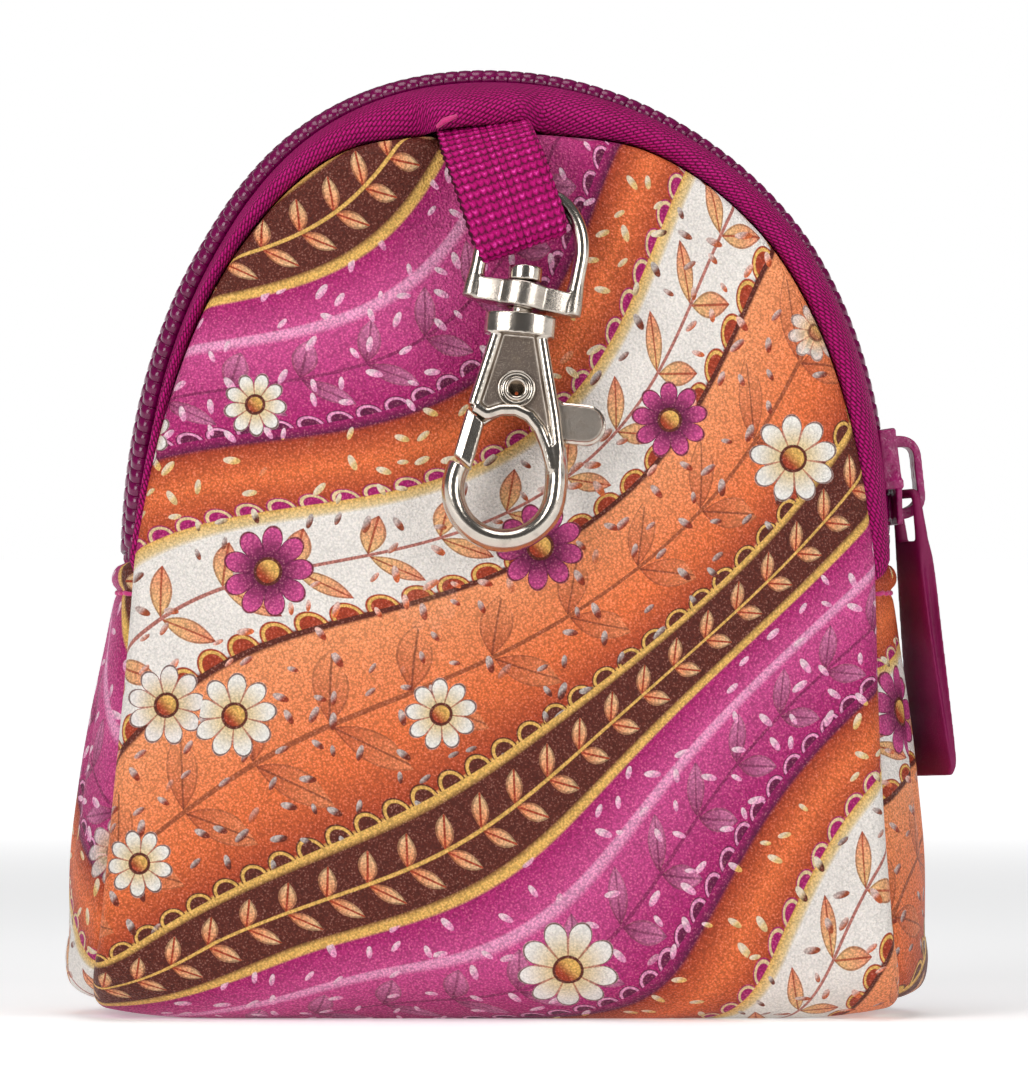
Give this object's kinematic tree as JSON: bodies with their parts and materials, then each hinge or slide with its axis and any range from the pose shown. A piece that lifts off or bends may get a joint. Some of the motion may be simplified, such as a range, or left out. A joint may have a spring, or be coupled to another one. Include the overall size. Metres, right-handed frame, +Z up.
{
  "type": "coin pouch",
  "caption": "Small dome-shaped zip pouch of padded printed leatherette, with a webbing loop, swivel ring and snap hook on its front.",
  "frame": {"origin": "middle of the flat base, on the surface the pouch stands on", "axes": "+Z up, -Y out of the front that carries the clasp, +X towards the side with the zip pull"},
  "size_m": [0.1004, 0.0421, 0.1072],
  "materials": {
    "leatherette": "semi-gloss pebble grain, printed",
    "tape": "woven twill",
    "coil": "glossy nylon",
    "slider_paint": "gloss paint",
    "pull_moulding": "matte moulding",
    "webbing": "plain woven webbing",
    "nickel": "polished nickel plate"
  },
  "bodies": {
    "pouch": {"body_panel": "leatherette", "gusset_left": "leatherette", "gusset_right": "leatherette", "zip_tape_front": "tape", "zip_tape_back": "tape", "zip_coil": "coil", "zip_slider": "slider_paint", "strap_loop": "webbing", "swivel_ring": "nickel"},
    "pull": {"zip_pull": "pull_moulding"},
    "hook": {"hook_body": "nickel", "hook_rivet": "nickel"},
    "lever": {"gate_lever": "nickel"}
  },
  "joints": [
    {"name": "pull_swing", "type": "hinge", "parent": "pouch", "child": "pull", "pos_m": [0.04658, 0.00133, 0.0596], "axis": [0.1793, -0.9836, 0.0186], "range_deg": [0, 135]},
    {"name": "hook_swivel", "type": "hinge", "parent": "pouch", "child": "hook", "pos_m": [0.003, -0.0172, 0.081], "axis": [0.0958, 0.142, 0.9852], "range_deg": [-18, 13]},
    {"name": "lever_open", "type": "hinge", "parent": "hook", "child": "lever", "pos_m": [0.00228, -0.01871, 0.07053], "axis": [0, -0.9898, 0.1426], "range_deg": [0, 24], "stiffness_Nm_per_rad": 0.01, "springref_deg": -17.19}
  ]
}
